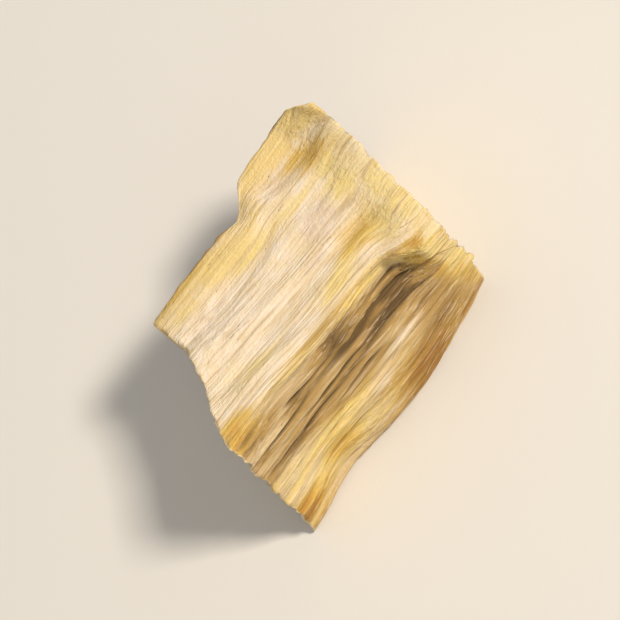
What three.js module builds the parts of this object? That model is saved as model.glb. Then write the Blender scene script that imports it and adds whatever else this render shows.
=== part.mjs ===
import * as THREE from 'three';
import { mergeVertices } from 'three/addons/utils/BufferGeometryUtils.js';

// One chip of dried, chopped horseradish root, in millimetres, +Z up.
// The fibre runs along X. A knife cut both ends across it: the near cut is at -X, the far cut at +X.
// The front (-Y), the top and the base are split along the fibre, and the back (+Y) is the root's skin.
// The chip lies on its flat base, and the origin is on the base, under the middle of the chip.

// Driving dimensions
const HEIGHT = 6.75;
const TOP_WIDTH = 6.4;
const BASE_WIDTH = 6.3;
const FRONT_BASE_Y = -3.15;
const EDGE_RADIUS = 0.28;

// Each cut is a plane: its x on the axis, and how much x grows per millimetre to the back and upwards
const NEAR_CUT = { x: -5.45, perBack: 0.34, perUp: 0.11 };
const FAR_CUT = { x: 4.78, perBack: 0.16, perUp: 0.15 };

// Drying twists the chip: the top's tilt and the front's lean change evenly from one cut to the other
const TOP_TWIST = THREE.MathUtils.degToRad(12);
const FRONT_LEAN = THREE.MathUtils.degToRad(3.2);
const FRONT_TWIST = THREE.MathUtils.degToRad(5.9);

// The chip comes from the outer part of a root this thick, whose axis runs along X in front of the chip
const ROOT_RADIUS = 12.5;
const ROOT_AXIS = { y: FRONT_BASE_Y + BASE_WIDTH - ROOT_RADIUS, z: HEIGHT / 2 };

// Segments of the surface grid along the fibre, across it and upwards. The rows stand closer at the edges.
const GRID = { along: 34, across: 24, up: 24 };
const EDGE_CROWDING = 0.25;

const TURN = 2 * Math.PI;

// Places on the chip are shares: s runs from -1 at the near cut to 1 at the far cut, t from -1 at the
// front to 1 at the back, and lift from 0 at the base to 1 at the top.

// A smooth hill of height 1 at 0, which has died away at about 2, and a smooth step up from 0 to 1
const hill = (distance) => Math.exp(-distance * distance);
const step = (from, to, value) => THREE.MathUtils.smoothstep(value, from, to);

// A point of the untwisted blank, a box with rounded edges, as shares from -1 to 1
function blankPoint(gridPoint) {
  const half = new THREE.Vector3((FAR_CUT.x - NEAR_CUT.x) / 2, TOP_WIDTH / 2, HEIGHT / 2);
  const point = gridPoint.clone().multiply(half);
  const inner = half.clone().subScalar(EDGE_RADIUS);
  const core = point.clone().clamp(inner.clone().negate(), inner);
  const outwards = point.clone().sub(core);
  if (outwards.length() > 0) point.copy(core).addScaledVector(outwards.normalize(), EDGE_RADIUS);
  return point.divide(half);
}

// The twisted section across the fibre at s
function sectionPoint(s, t, lift) {
  const frontTopY = FRONT_BASE_Y - HEIGHT * Math.tan(FRONT_LEAN + FRONT_TWIST * s);
  const across = (t + 1) / 2;
  const baseY = FRONT_BASE_Y + BASE_WIDTH * across;
  const topY = frontTopY + TOP_WIDTH * across;
  const topZ = HEIGHT + t * (TOP_WIDTH / 2) * Math.tan(TOP_TWIST * s);
  return { y: THREE.MathUtils.lerp(baseY, topY, lift), z: topZ * lift };
}

// Long drying grooves of the front face, each at its share of the height
const FRONT_GROOVES = [
  { lift: 0.92, depth: 0.2, halfWidth: 0.24 },
  { lift: 0.77, depth: 0.3, halfWidth: 0.28 },
  { lift: 0.62, depth: 0.26, halfWidth: 0.26 },
  { lift: 0.31, depth: 0.12, halfWidth: 0.3 },
  { lift: 0.14, depth: 0.2, halfWidth: 0.3 },
];
const GROOVE_WAVER = 0.008;
const GROOVE_FADING = 0.25;

// The ridge between front and top is set back, most in the far half, as far as the far cut's lip
const RIDGE_INSET = { from: -1.1, to: -0.5, low: 0.55, depth: 0.55 };
const RECESS = { s: 0.5, reach: 0.42, spread: 0.36, depth: 0.57 };
const FRONT_LIP = { from: 0.64, to: 0.8 };

// Low down, the front bellies out in its far half and draws in close to the near cut
const BELLIES = [
  { s: 0.3, reach: 0.5, spread: 0.3, out: 0.45 },
  { s: -0.55, reach: 0.25, spread: 0.35, out: -0.3 },
];

function frontInset(s, lift) {
  const waver = GROOVE_WAVER * (Math.sin(4.2 * s + 0.6) + 0.45 * Math.sin(9.1 * s));
  const recess = hill((s - RECESS.s) / RECESS.reach) * hill((1 - lift) / RECESS.spread);
  const ridge = step(RIDGE_INSET.from, RIDGE_INSET.to, s) * step(RIDGE_INSET.low, 1, lift);
  let inset = RECESS.depth * recess + RIDGE_INSET.depth * ridge;
  for (const groove of FRONT_GROOVES) {
    const away = (lift - groove.lift - waver) * HEIGHT;
    const strength = 1 - GROOVE_FADING * (1 - Math.sin(3.1 * s + 11 * groove.lift));
    inset += groove.depth * strength * hill(away / groove.halfWidth);
  }
  inset *= 1 - step(FRONT_LIP.from, FRONT_LIP.to, s);
  for (const belly of BELLIES) {
    inset -= belly.out * hill((s - belly.s) / belly.reach) * hill(lift / belly.spread);
  }
  return inset;
}

// The top sags, rises to a lip at the far cut, and steps down to a terrace along the back
const TOP_SAG = 0.3;
const TOP_LIP = { from: 0.7, to: 0.92, rise: 0.32 };
const TERRACE = { t: 0.6, halfStep: 0.16, drop: 0.42, from: -0.35, to: 0.45, end: 0.75 };
const OFF_THE_TOP = 1.15;
const TOP_DIPS = [
  { s: 0.62, t: -0.36, length: 0.2, width: 0.14, depth: 0.28 },
  { s: 0.56, t: 0.28, length: 0.3, width: 0.1, depth: 0.16 },
  { s: -0.45, t: 0.4, length: 0.4, width: 0.12, depth: 0.14 },
  { s: -0.7, t: -0.45, length: 0.35, width: 0.12, depth: 0.12 },
];

function topRise(s, t) {
  const edge = THREE.MathUtils.lerp(OFF_THE_TOP, TERRACE.t, step(TERRACE.from, TERRACE.to, s));
  const pastEdge = step(edge - TERRACE.halfStep, edge + TERRACE.halfStep, t);
  const onTerrace = pastEdge * (1 - step(TERRACE.end, 1, s));
  let rise = TOP_LIP.rise * step(TOP_LIP.from, TOP_LIP.to, s);
  rise -= TOP_SAG * (1 - s * s) * (1 - t * t) + TERRACE.drop * onTerrace;
  for (const dip of TOP_DIPS) {
    rise -= dip.depth * hill((s - dip.s) / dip.length) * hill((t - dip.t) / dip.width);
  }
  return rise;
}

// The back is round like the root, wrinkled lengthwise and crossed by low folds.
// Its upper far part stands out as a shelf under the terrace.
const BACK_OUT = 0.4;
const SHELF = { from: -0.04, to: 0.2, end: 0.8, low: 0.45, high: 0.95, out: 0.9 };
const WRINKLES = [
  { depth: 0.13, perHeight: 3.1, phase: 0.4 },
  { depth: 0.1, perHeight: 5.3, phase: 2.1 },
];
const FOLD = { depth: 0.06, perHalfLength: 2.4 };
const SMOOTH_EDGE = 0.2;

function backBulge(s, lift) {
  const round = Math.sqrt(ROOT_RADIUS ** 2 - ((lift - 0.5) * HEIGHT) ** 2) - ROOT_RADIUS;
  const onShelf = step(SHELF.from, SHELF.to, s) * (1 - step(SHELF.end, 1, s));
  const shelf = SHELF.out * onShelf * step(SHELF.low, SHELF.high, lift);
  let skin = FOLD.depth * Math.sin(TURN * FOLD.perHalfLength * s + 5 * lift);
  for (const wrinkle of WRINKLES) {
    const drift = 1.3 * Math.sin(2.1 * s + 3 * wrinkle.phase);
    const strength = 0.7 + 0.3 * Math.sin(3.7 * s + 8 * lift + wrinkle.phase);
    const wave = Math.sin(TURN * wrinkle.perHeight * lift + wrinkle.phase + drift);
    skin += wrinkle.depth * strength * wave;
  }
  const inFromEdge = Math.min(lift, 1 - lift, 1 - Math.abs(s));
  return BACK_OUT + round + shelf + skin * step(0, SMOOTH_EDGE, inFromEdge);
}

// The cut ends are dished, and growth rings and rays of the root stand in low relief on them.
// A bay in the near cut makes its upper edge S-shaped, and the far cut is crowned from front to back.
const NEAR_DISH = 0.25;
const NEAR_BAY = { t: 0.25, spread: 0.5, depth: 0.6, atBase: 0.3 };
const FAR_DISH = 0.6;
const FAR_CROWN = 0.06;
const GROWTH_RING = { spacing: 1.5, relief: 0.05 };
const RAY = { perRadian: 6.5, relief: 0.05 };

function cutInset(s, t, lift, y, z) {
  const fromAxis = Math.hypot(y - ROOT_AXIS.y, z - ROOT_AXIS.z);
  const bearing = Math.atan2(z - ROOT_AXIS.z, y - ROOT_AXIS.y);
  const ringPhase = (TURN * fromAxis) / GROWTH_RING.spacing + Math.sin(9 * bearing);
  const rayPhase = TURN * RAY.perRadian * bearing + Math.sin(1.3 * y);
  const dish = (1 - t ** 4) * (1 - (2 * lift - 1) ** 4);
  const relief = dish * (GROWTH_RING.relief * Math.sin(ringPhase) + RAY.relief * Math.sin(rayPhase));
  if (s > 0) return FAR_DISH * dish - FAR_CROWN * (1 - t * t) + relief;
  const bayAtLift = NEAR_BAY.depth * THREE.MathUtils.lerp(NEAR_BAY.atBase, 1, lift);
  return NEAR_DISH * dish + bayAtLift * hill((t - NEAR_BAY.t) / NEAR_BAY.spread) + relief;
}

// Low lengthwise swellings of the top and the sides: two crossed waves each, in radians per millimetre
const SWELLINGS = [
  { height: 0.07, phase: 1.1, first: { x: 0.55, y: 2.1, z: -1.3 }, second: { x: 0.4, z: 1.7 } },
  { height: 0.045, phase: 0.8, first: { x: 0.9, y: 4.9, z: 0 }, second: { x: 0.7, z: -4.3 } },
];

function swelling(x, y, z) {
  let height = 0;
  for (const { height: most, phase, first, second } of SWELLINGS) {
    const along = Math.sin(first.x * x + first.y * y + first.z * z + phase);
    const across = Math.sin(second.x * x + second.z * z + phase);
    height += most * along * across;
  }
  return height;
}

// Shallow hollows of the base, on both sides of the flat middle that the chip lies on
const BASE_HOLLOWS = [
  { t: -0.58, halfWidth: 0.16, rise: 0.22 },
  { t: 0.62, halfWidth: 0.14, rise: 0.18 },
];

function baseRise(s, t) {
  let rise = 0;
  for (const hollow of BASE_HOLLOWS) {
    const away = Math.abs(t - hollow.t - 0.05 * s) / hollow.halfWidth;
    const strength = 0.75 + 0.25 * Math.sin(3 * s);
    rise += hollow.rise * strength * (1 - step(0, 1, away));
  }
  return rise;
}

// A point of the finished surface, from its place on the grid
function chipPoint(gridPoint) {
  const blank = blankPoint(gridPoint);
  const s = blank.x;
  const t = blank.y;
  const lift = (blank.z + 1) / 2;

  // How strongly each face's own form acts here: fully on the face, and not past the chip's middle
  const onFront = step(-0.1, 1, -t);
  const onBack = step(-0.1, 1, t);
  const onTop = step(0.45, 1, lift);
  const onBase = 1 - step(0, 0.3, lift);
  const onSide = step(0.6, 1, Math.abs(t));
  const onCut = step(0.45, 1, Math.abs(s));

  const section = sectionPoint(s, t, lift);
  const y = section.y + frontInset(s, lift) * onFront + backBulge(s, lift) * onBack;
  const z = section.z + topRise(s, t) * onTop + baseRise(s, t) * onBase;

  const nearX = NEAR_CUT.x + NEAR_CUT.perBack * y + NEAR_CUT.perUp * z;
  const farX = FAR_CUT.x + FAR_CUT.perBack * y + FAR_CUT.perUp * z;
  const straightX = THREE.MathUtils.lerp(nearX, farX, (s + 1) / 2);
  const x = straightX - Math.sign(s) * cutInset(s, t, lift, y, z) * onCut;

  const swell = swelling(x, y, z) * (1 - onBase);
  return new THREE.Vector3(x, y + Math.sign(t) * swell * onSide, z + swell * onTop);
}

// The whole chip: a grid on all six sides of a box, moved point by point
function rootChipGeometry() {
  const box = new THREE.BoxGeometry(2, 2, 2, GRID.along, GRID.across, GRID.up);
  box.deleteAttribute('normal');
  box.deleteAttribute('uv');
  const surface = mergeVertices(box);
  const position = surface.getAttribute('position');
  const crowd = (share) => share * (1 + EDGE_CROWDING) - EDGE_CROWDING * share ** 3;
  const gridPoint = new THREE.Vector3();
  for (let i = 0; i < position.count; i += 1) {
    gridPoint.fromBufferAttribute(position, i);
    gridPoint.set(crowd(gridPoint.x), crowd(gridPoint.y), crowd(gridPoint.z));
    position.setXYZ(i, ...chipPoint(gridPoint).toArray());
  }
  surface.computeBoundingBox();
  const middle = surface.boundingBox.getCenter(new THREE.Vector3());
  surface.translate(-middle.x, -middle.y, -surface.boundingBox.min.z);
  surface.computeVertexNormals();
  return surface;
}

const driedFlesh = new THREE.MeshStandardMaterial({ color: '#e6cfa4', roughness: 0.85, metalness: 0 });

const rootChip = new THREE.Mesh(rootChipGeometry(), driedFlesh);
rootChip.name = 'root_chip';

const group = new THREE.Group();
group.add(rootChip);

export default group;
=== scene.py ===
import math

import bpy
import numpy as np
from mathutils import Matrix, Vector, noise


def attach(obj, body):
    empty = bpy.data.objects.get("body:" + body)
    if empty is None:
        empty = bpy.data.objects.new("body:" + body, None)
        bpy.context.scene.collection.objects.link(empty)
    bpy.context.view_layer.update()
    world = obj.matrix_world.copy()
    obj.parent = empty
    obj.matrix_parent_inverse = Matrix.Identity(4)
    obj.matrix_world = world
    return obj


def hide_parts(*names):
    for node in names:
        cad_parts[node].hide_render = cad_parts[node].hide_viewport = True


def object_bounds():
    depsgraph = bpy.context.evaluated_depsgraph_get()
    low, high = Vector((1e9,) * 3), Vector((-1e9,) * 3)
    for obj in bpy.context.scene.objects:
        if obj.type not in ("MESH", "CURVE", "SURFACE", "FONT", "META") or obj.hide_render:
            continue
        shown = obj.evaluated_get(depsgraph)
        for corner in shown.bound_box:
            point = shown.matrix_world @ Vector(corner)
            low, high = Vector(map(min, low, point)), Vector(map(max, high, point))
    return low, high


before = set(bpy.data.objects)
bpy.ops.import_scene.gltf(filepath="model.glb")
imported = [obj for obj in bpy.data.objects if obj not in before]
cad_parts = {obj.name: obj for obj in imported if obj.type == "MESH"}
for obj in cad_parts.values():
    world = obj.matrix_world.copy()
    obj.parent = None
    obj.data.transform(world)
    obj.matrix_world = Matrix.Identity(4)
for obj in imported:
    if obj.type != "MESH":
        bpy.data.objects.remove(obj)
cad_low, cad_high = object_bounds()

# A chip of dried, chopped horseradish root. The fibre runs along X, and a knife cut both ends across it.
# The front (-Y), the top and the base are split along the fibre, and the back (+Y) is the root's skin.
# The shape is worked out in millimetres and scaled to metres when the mesh is made.
MM = 0.001
TURN = 2 * math.pi

# The chip's driving dimensions are those of its solid, but the far cut stands a little nearer and the edges
# are crisper.
HEIGHT = 6.75
TOP_WIDTH = 6.4
BASE_WIDTH = 6.3
FRONT_BASE_Y = -3.15
EDGE_RADIUS = 0.15
NEAR_CUT = {"x": -5.45, "per_back": 0.34, "per_up": 0.11}
FAR_CUT = {"x": 4.7, "per_back": 0.16, "per_up": 0.15}
TOP_TWIST = math.radians(12)
FRONT_LEAN = math.radians(3.2)
FRONT_TWIST = math.radians(5.9)
ROOT_RADIUS = 12.5
ROOT_AXIS = {"y": FRONT_BASE_Y + BASE_WIDTH - ROOT_RADIUS, "z": HEIGHT / 2}

# Half the length, width and height of the untwisted blank
HALF_BLANK = np.array([(FAR_CUT["x"] - NEAR_CUT["x"]) / 2, TOP_WIDTH / 2, HEIGHT / 2])

# Faces of the surface grid along the fibre, across it and upwards. The rows stand closer at the edges.
GRID = (110, 128, 134)
EDGE_CROWDING = 0.25

# The corners of a grid face, as steps to the right and up, in the order that makes it face outwards
LOW_SIDE_CORNERS = ((0, 0), (0, 1), (1, 1), (1, 0))
HIGH_SIDE_CORNERS = ((0, 0), (1, 0), (1, 1), (0, 1))

# The first seed of each kind of random form. The noise is read this many hills further along for each seed.
SEEDS = {"fibre": 1, "skin": 11, "ray": 21, "wander": 31, "rim": 40, "fading": 50, "loose_fibres": 7}
SEED_SHIFT = 17.3

# Places on the chip are shares: s runs from -1 at the near cut to 1 at the far cut, t from -1 at the
# front to 1 at the back, and lift from 0 at the base to 1 at the top.


def hill(distance):
    """A smooth hill of height 1 at 0, which has died away at about 2."""
    return np.exp(-distance * distance)


def step(start, end, value):
    """A smooth step from 0 at start up to 1 at end."""
    share = np.clip((value - start) / (end - start), 0, 1)
    return share * share * (3 - 2 * share)


def blend(first, second, share):
    return first + (second - first) * share


def random_hills(places, spacing, seed):
    """Seeded random hills from about -1 to 1, as many millimetres apart along each axis as spacing says."""
    shifted = places / np.array(spacing) + SEED_SHIFT * seed
    return np.array([noise.noise(place) for place in shifted.tolist()])


def box_surface():
    """Grid points on all six sides of a box from -1 to 1, and the quads between them, facing outwards."""
    sides = []
    for axis in range(3):
        right, up = (axis + 1) % 3, (axis + 2) % 3
        i, j = np.indices((GRID[right], GRID[up])).reshape(2, -1)
        for level, ring in ((0, LOW_SIDE_CORNERS), (GRID[axis], HIGH_SIDE_CORNERS)):
            corners = np.empty((len(i), 4, 3), int)
            corners[:, :, axis] = level
            for corner, (to_right, to_up) in enumerate(ring):
                corners[:, corner, right] = i + to_right
                corners[:, corner, up] = j + to_up
            sides.append(corners)
    corners = np.concatenate(sides).reshape(-1, 3)
    points, quads = np.unique(corners, axis=0, return_inverse=True)
    share = points / np.array(GRID) * 2 - 1
    crowded = share * (1 + EDGE_CROWDING) - EDGE_CROWDING * share ** 3
    return crowded, quads.reshape(-1, 4)


def blank(grid):
    """Shares of the untwisted blank, a box with rounded edges, and the way that each point faces."""
    point = grid * HALF_BLANK
    core = np.clip(point, EDGE_RADIUS - HALF_BLANK, HALF_BLANK - EDGE_RADIUS)
    outwards = point - core
    facing = outwards / np.linalg.norm(outwards, axis=1, keepdims=True)
    return (core + facing * EDGE_RADIUS) / HALF_BLANK, facing


def wave(form, s, lift):
    """A wave along the fibre, from -1 to 1, shifted with the lift so that no two forms keep in step."""
    return np.sin(form["per_s"] * s + form["per_lift"] * lift)


def section(s, t, lift):
    """The twisted section across the fibre at s."""
    front_top_y = FRONT_BASE_Y - HEIGHT * np.tan(FRONT_LEAN + FRONT_TWIST * s)
    across = (t + 1) / 2
    top_z = HEIGHT + t * (TOP_WIDTH / 2) * np.tan(TOP_TWIST * s)
    y = blend(FRONT_BASE_Y + BASE_WIDTH * across, front_top_y + TOP_WIDTH * across, lift)
    return y, top_z * lift


# Long drying grooves of the front, each at its lift and deepening from its start towards the far cut
FRONT_GROOVES = (
    {"lift": 0.92, "depth": 0.08, "half_width": 0.2, "start": -0.4},
    {"lift": 0.77, "depth": 0.2, "half_width": 0.24, "start": -0.3},
    {"lift": 0.62, "depth": 0.15, "half_width": 0.22, "start": -1.2},
    {"lift": 0.31, "depth": 0.08, "half_width": 0.25, "start": -1.2},
    {"lift": 0.14, "depth": 0.12, "half_width": 0.25, "start": -1.2},
)
GROOVE_START = 0.5
# They waver up and down, and come and go along the fibre
GROOVE_WAVERS = (
    {"lift": 0.008, "per_s": 4.2, "phase": 0.6},
    {"lift": 0.0036, "per_s": 9.1, "phase": 0},
)
GROOVE_FADING = {"share": 0.25, "per_s": 3.1, "per_lift": 11}

# Narrow drying cracks, along the front from one end's (s, lift) to the other's
FRONT_CRACKS = (
    {"from": (-1.1, 0.89), "to": (-0.1, 0.915), "depth": 0.14, "half_width": 0.08},
    {"from": (-0.3, 0.9), "to": (0.48, 0.88), "depth": 0.1, "half_width": 0.08},
    {"from": (-0.7, 0.81), "to": (0.72, 0.83), "depth": 0.18, "half_width": 0.09},
    {"from": (-1.2, 0.73), "to": (-0.1, 0.748), "depth": 0.16, "half_width": 0.08},
    {"from": (-0.5, 0.742), "to": (0.78, 0.765), "depth": 0.26, "half_width": 0.1},
    {"from": (-1.0, 0.675), "to": (0.74, 0.7), "depth": 0.18, "half_width": 0.08},
    {"from": (-1.1, 0.6), "to": (0.75, 0.63), "depth": 0.24, "half_width": 0.1},
    {"from": (-1.1, 0.535), "to": (0.3, 0.56), "depth": 0.14, "half_width": 0.08},
    {"from": (0.15, 0.55), "to": (0.8, 0.58), "depth": 0.14, "half_width": 0.08},
    {"from": (-0.5, 0.47), "to": (0.85, 0.5), "depth": 0.12, "half_width": 0.07},
    {"from": (-1.1, 0.38), "to": (0.0, 0.4), "depth": 0.1, "half_width": 0.07},
    {"from": (-0.7, 0.25), "to": (0.5, 0.23), "depth": 0.14, "half_width": 0.08},
    {"from": (-0.1, 0.16), "to": (0.9, 0.18), "depth": 0.12, "half_width": 0.08},
)
CRACK_END = 0.25
CRACK_WANDER = {"lift": 0.006, "per_s": 9, "per_lift": 40}
CRACK_FADING = {"share": 0.3, "per_s": 6, "per_lift": 55}

# The ridge between front and top is set back, most in the far half, as far as the far cut's lip.
# Low down, the front bellies out in its far half and draws in close to the near cut.
RIDGE_INSET = {"start": -1.1, "full": -0.5, "low": 0.55, "depth": 0.55}
RECESS = {"s": 0.48, "reach": 0.42, "spread": 0.36, "depth": 0.5}
FRONT_LIP = {"start": 0.54, "end": 0.85}
BELLIES = (
    {"s": 0.3, "reach": 0.5, "spread": 0.3, "out": 0.45},
    {"s": -0.55, "reach": 0.25, "spread": 0.35, "out": -0.3},
)


def groove_depth(s, lift):
    """How deep the drying grooves are sunk into the front."""
    waver = sum(part["lift"] * np.sin(part["per_s"] * s + part["phase"]) for part in GROOVE_WAVERS)
    depth = np.zeros_like(s)
    for groove in FRONT_GROOVES:
        away = (lift - groove["lift"] - waver) * HEIGHT
        strength = 1 - GROOVE_FADING["share"] * (1 - wave(GROOVE_FADING, s, groove["lift"]))
        strength = strength * step(groove["start"] - GROOVE_START, groove["start"] + GROOVE_START, s)
        depth += groove["depth"] * strength * hill(away / groove["half_width"])
    return depth * (1 - step(FRONT_LIP["start"], FRONT_LIP["end"], s))


def crack_depth(s, lift):
    """How deep the narrow cracks run along the front."""
    depth = np.zeros_like(s)
    for crack in FRONT_CRACKS:
        (start, start_lift), (end, end_lift) = crack["from"], crack["to"]
        middle = start_lift + (end_lift - start_lift) * (s - start) / (end - start)
        wander = CRACK_WANDER["lift"] * wave(CRACK_WANDER, s, start_lift)
        away = (lift - middle - wander) * HEIGHT
        along = step(start, start + CRACK_END, s) * (1 - step(end - CRACK_END, end, s))
        along = along * (1 - CRACK_FADING["share"] * (1 + wave(CRACK_FADING, s, start_lift)))
        depth = np.maximum(depth, crack["depth"] * along * hill(away / crack["half_width"]))
    return depth


def front_inset(s, lift):
    """How far the front lies behind its straight face."""
    recess = RECESS["depth"] * hill((s - RECESS["s"]) / RECESS["reach"])
    recess = recess * hill((1 - lift) / RECESS["spread"])
    ridge = RIDGE_INSET["depth"] * step(RIDGE_INSET["start"], RIDGE_INSET["full"], s)
    ridge = ridge * step(RIDGE_INSET["low"], 1, lift)
    inset = (recess + ridge) * (1 - step(FRONT_LIP["start"], FRONT_LIP["end"], s))
    for belly in BELLIES:
        inset = inset - belly["out"] * hill((s - belly["s"]) / belly["reach"]) * hill(lift / belly["spread"])
    return inset + groove_depth(s, lift) + crack_depth(s, lift)


# The top sags, rises to a lip at the far cut, and steps down to a terrace along the back
TOP_SAG = 0.3
TOP_LIP = {"start": 0.6, "end": 0.95, "rise": 0.22}
TERRACE = {"t": 0.6, "half_step": 0.12, "drop": 0.42, "start": -0.35, "full": 0.45, "fade": 0.6}
OFF_THE_TOP = 1.15
TOP_DIPS = (
    {"s": 0.58, "t": -0.36, "length": 0.19, "width": 0.14, "depth": 0.25},
    {"s": 0.56, "t": 0.28, "length": 0.3, "width": 0.1, "depth": 0.16},
    {"s": -0.45, "t": 0.4, "length": 0.4, "width": 0.12, "depth": 0.14},
    {"s": -0.7, "t": -0.45, "length": 0.35, "width": 0.12, "depth": 0.05},
)


def top_rise(s, t):
    edge = blend(OFF_THE_TOP, TERRACE["t"], step(TERRACE["start"], TERRACE["full"], s))
    past_edge = step(edge - TERRACE["half_step"], edge + TERRACE["half_step"], t)
    on_terrace = past_edge * (1 - step(TERRACE["fade"], 1, s))
    rise = TOP_LIP["rise"] * step(TOP_LIP["start"], TOP_LIP["end"], s)
    rise = rise - TOP_SAG * (1 - s * s) * (1 - t * t) - TERRACE["drop"] * on_terrace
    for dip in TOP_DIPS:
        along = hill((s - dip["s"]) / dip["length"])
        rise = rise - dip["depth"] * along * hill((t - dip["t"]) / dip["width"])
    return rise


# The back is round like the root, wrinkled lengthwise and crossed by low folds.
# Its upper far part stands out as a shelf under the terrace.
BACK_OUT = 0.4
SHELF = {"start": -0.04, "full": 0.2, "fade": 0.8, "low": 0.45, "high": 0.95, "out": 0.9}
WRINKLES = (
    {"depth": 0.13, "per_height": 3.1, "phase": 0.4},
    {"depth": 0.1, "per_height": 5.3, "phase": 2.1},
)
# The wrinkles drift up and down, by as much of their phase as this in radians, and come and go
DRIFT = {"most": 1.3, "per_s": 2.1, "per_phase": 3}
WRINKLE_FADING = {"share": 0.3, "per_s": 3.7, "per_lift": 8}
FOLD = {"depth": 0.06, "per_s": TURN * 2.4, "per_lift": 5}
SMOOTH_EDGE = 0.2


def back_bulge(s, lift):
    round_out = np.sqrt(ROOT_RADIUS ** 2 - ((lift - 0.5) * HEIGHT) ** 2) - ROOT_RADIUS
    on_shelf = step(SHELF["start"], SHELF["full"], s) * (1 - step(SHELF["fade"], 1, s))
    shelf = SHELF["out"] * on_shelf * step(SHELF["low"], SHELF["high"], lift)
    skin = FOLD["depth"] * wave(FOLD, s, lift)
    for wrinkle in WRINKLES:
        phase = wrinkle["phase"]
        drift = DRIFT["most"] * np.sin(DRIFT["per_s"] * s + DRIFT["per_phase"] * phase)
        fading = np.sin(WRINKLE_FADING["per_s"] * s + WRINKLE_FADING["per_lift"] * lift + phase)
        strength = 1 - WRINKLE_FADING["share"] * (1 - fading)
        upwards = TURN * wrinkle["per_height"] * lift
        skin = skin + wrinkle["depth"] * strength * np.sin(upwards + phase + drift)
    in_from_edge = np.minimum(np.minimum(lift, 1 - lift), 1 - np.abs(s))
    return BACK_OUT + round_out + shelf + skin * step(0, SMOOTH_EDGE, in_from_edge)


# The cut ends are dished, and growth rings and rays of the root stand in low relief on them.
# A bay in the near cut makes its upper edge S-shaped. The far cut is slightly hollow from front to back, and
# both of its upper corners are worn round.
DISH_FLATNESS = 4
NEAR_DISH = 0.25
NEAR_BAY = {"t": 0.25, "spread": 0.5, "depth": 0.6, "at_base": 0.3}
FAR_DISH = 0.6
FAR_HOLLOW = 0.2
WORN_CORNERS = (
    {"t": 1, "spread": 0.16, "depth": 0.3},
    {"t": -1, "spread": 0.3, "depth": 0.28},
)
WORN_FROM = 0.5
GROWTH_RING = {"spacing": 1.5, "relief": 0.05, "waver_per_radian": 9}
RAY = {"per_radian": 6.5, "relief": 0.05, "waver_per_mm": 1.3}


def cut_inset(s, t, lift, y, z):
    from_axis = np.hypot(y - ROOT_AXIS["y"], z - ROOT_AXIS["z"])
    bearing = np.arctan2(z - ROOT_AXIS["z"], y - ROOT_AXIS["y"])
    ring_waver = np.sin(GROWTH_RING["waver_per_radian"] * bearing)
    ray_waver = np.sin(RAY["waver_per_mm"] * y)
    ring_phase = TURN * from_axis / GROWTH_RING["spacing"] + ring_waver
    ray_phase = TURN * RAY["per_radian"] * bearing + ray_waver
    dish = (1 - t ** DISH_FLATNESS) * (1 - (2 * lift - 1) ** DISH_FLATNESS)
    relief = dish * (GROWTH_RING["relief"] * np.sin(ring_phase) + RAY["relief"] * np.sin(ray_phase))
    bay = NEAR_BAY["depth"] * blend(NEAR_BAY["at_base"], 1, lift)
    bay = bay * hill((t - NEAR_BAY["t"]) / NEAR_BAY["spread"])
    worn = sum(corner["depth"] * hill((t - corner["t"]) / corner["spread"]) for corner in WORN_CORNERS)
    far = FAR_DISH * dish + FAR_HOLLOW * (1 - t * t) + worn * step(WORN_FROM, 1, lift)
    return np.where(s > 0, far, NEAR_DISH * dish + bay) + relief


# Low lengthwise swellings of the top and the sides: two crossed waves each, in radians per millimetre
SWELLINGS = (
    {"height": 0.07, "phase": 1.1, "first": (0.55, 2.1, -1.3), "second": (0.4, 0, 1.7)},
    {"height": 0.045, "phase": 0.8, "first": (0.9, 4.9, 0), "second": (0.7, 0, -4.3)},
)
BASE_HOLLOWS = (
    {"t": -0.58, "half_width": 0.16, "rise": 0.22},
    {"t": 0.62, "half_width": 0.14, "rise": 0.18},
)
HOLLOW_SLANT = 0.05
HOLLOW_FADING = {"share": 0.25, "per_s": 3}


def swelling(x, y, z):
    height = np.zeros_like(x)
    for swell in SWELLINGS:
        first, second = swell["first"], swell["second"]
        along = np.sin(first[0] * x + first[1] * y + first[2] * z + swell["phase"])
        across = np.sin(second[0] * x + second[1] * y + second[2] * z + swell["phase"])
        height += swell["height"] * along * across
    return height


def base_rise(s, t):
    rise = np.zeros_like(s)
    for hollow in BASE_HOLLOWS:
        away = np.abs(t - hollow["t"] - HOLLOW_SLANT * s) / hollow["half_width"]
        strength = 1 - HOLLOW_FADING["share"] * (1 - np.sin(HOLLOW_FADING["per_s"] * s))
        rise += hollow["rise"] * strength * (1 - step(0, 1, away))
    return rise


# Where the form of each side sets in, so that the sides blend into one another inside the chip's edges
FRONT_OR_BACK_FROM = -0.1
TOP_FROM = 0.45
BASE_UP_TO = 0.3
CUT_FROM = 0.45
SIDE_SWELLING_FROM = 0.6


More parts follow.
